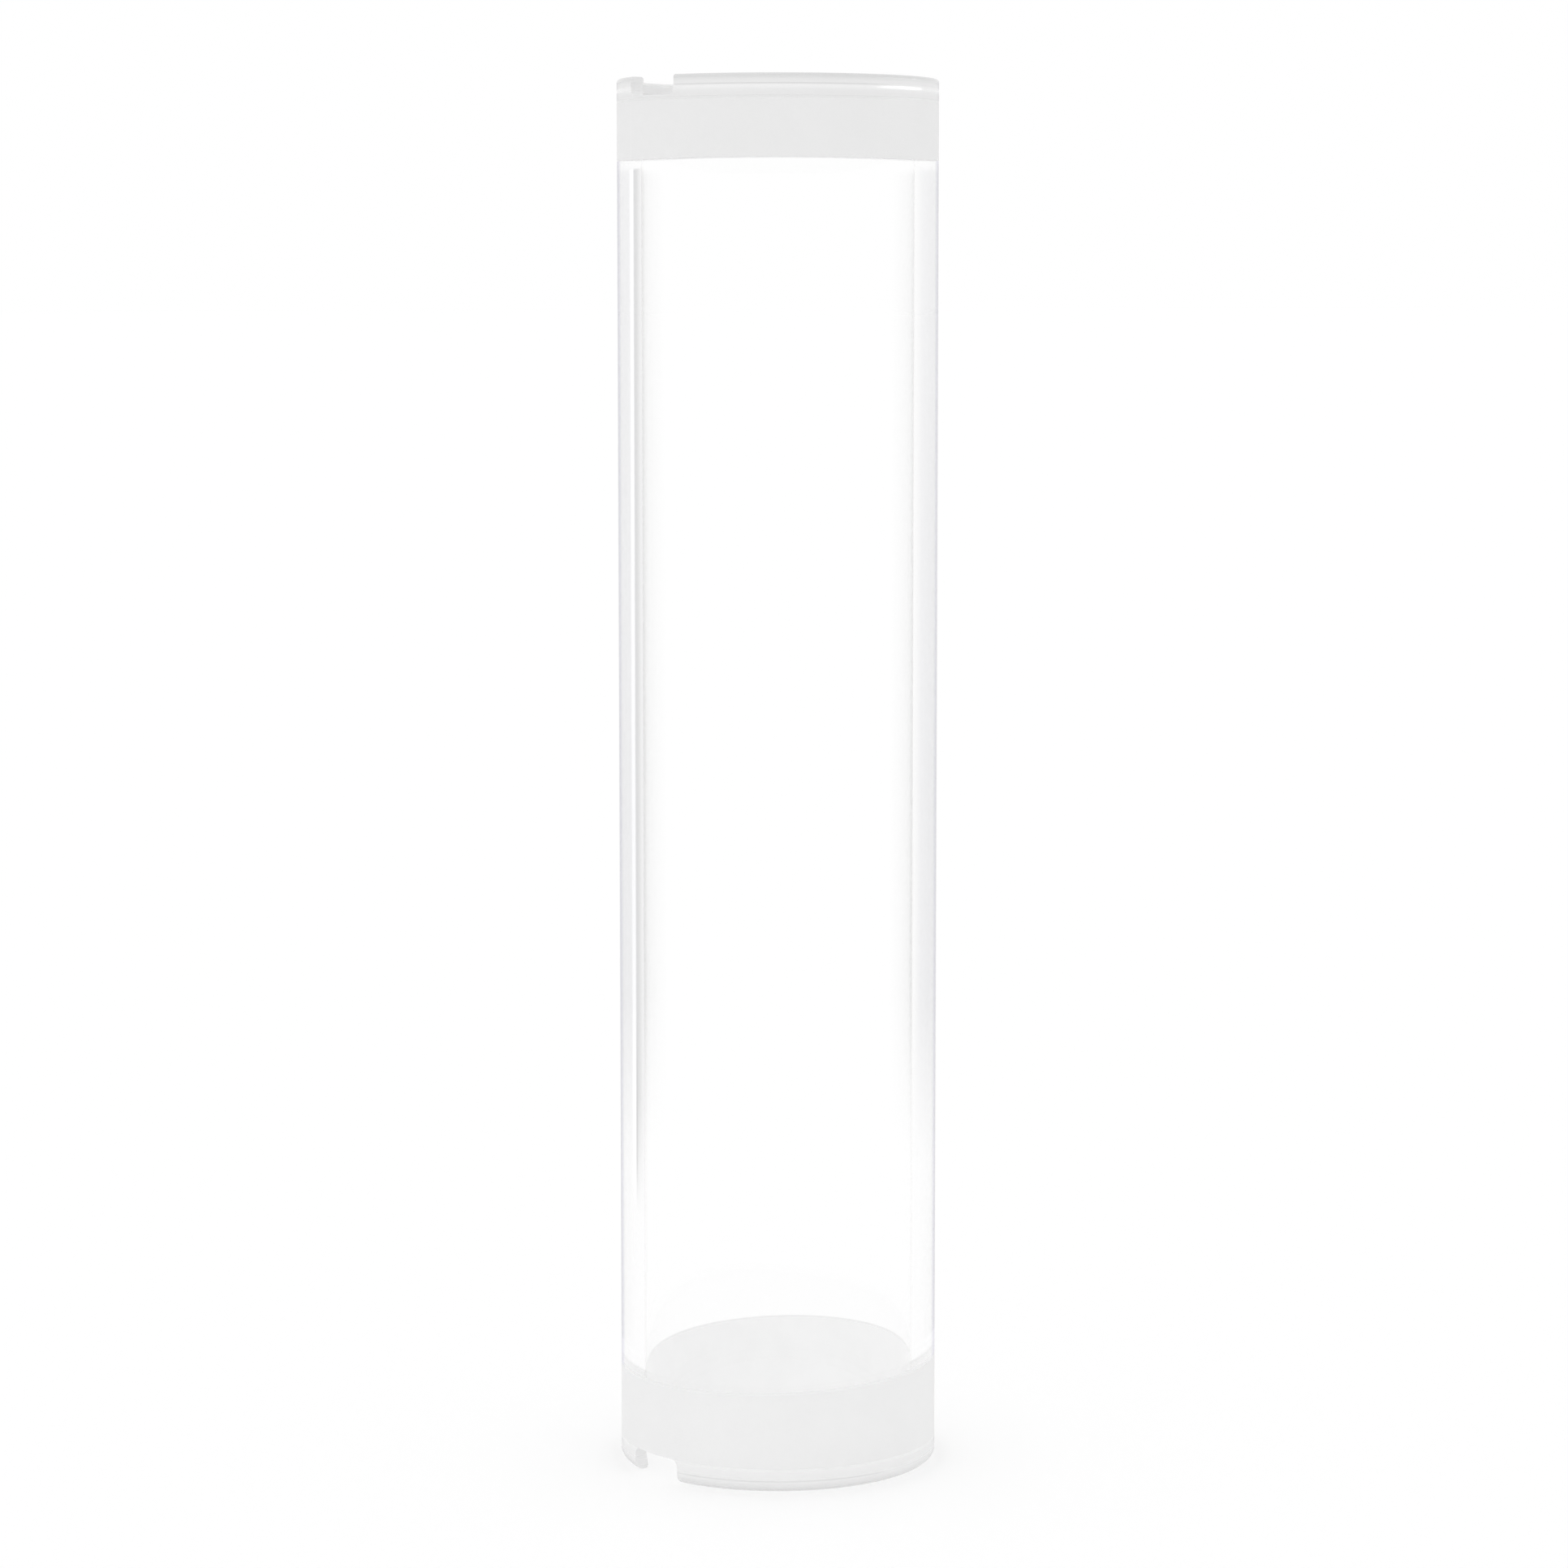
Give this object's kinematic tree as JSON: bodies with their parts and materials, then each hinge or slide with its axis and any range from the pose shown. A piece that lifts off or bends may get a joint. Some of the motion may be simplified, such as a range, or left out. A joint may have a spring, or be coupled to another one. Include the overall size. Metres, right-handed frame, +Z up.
{
  "type": "open clear tube with frosted end collars",
  "caption": "Straight thick-walled clear tube, open at both ends, with a frosted push-on collar and a notched clear lip at each end.",
  "frame": {"origin": "centre of the lower end face, where the tube stands", "axes": "+Z up the tube's axis, -Y out through the notches of both lips"},
  "size_m": [0.04, 0.04, 0.174],
  "materials": {
    "clear_acrylic": "clear, polished inside and out",
    "frosted_acrylic": "frosted, translucent, very pale grey",
    "polished_acrylic": "clear, polished, with rounded edges"
  },
  "bodies": {
    "lower_collar": {"lower_sleeve": "frosted_acrylic", "lower_lip": "polished_acrylic"},
    "tube": {"barrel": "clear_acrylic"},
    "upper_collar": {"upper_sleeve": "frosted_acrylic", "upper_lip": "polished_acrylic"}
  },
  "joints": [
    {"name": "barrel_pull", "type": "slide", "parent": "lower_collar", "child": "tube", "axis": [0, 0, 1], "range_m": [0, 0.0135]},
    {"name": "upper_collar_pull", "type": "slide", "parent": "tube", "child": "upper_collar", "axis": [0, 0, 1], "range_m": [0, 0.0115]}
  ]
}
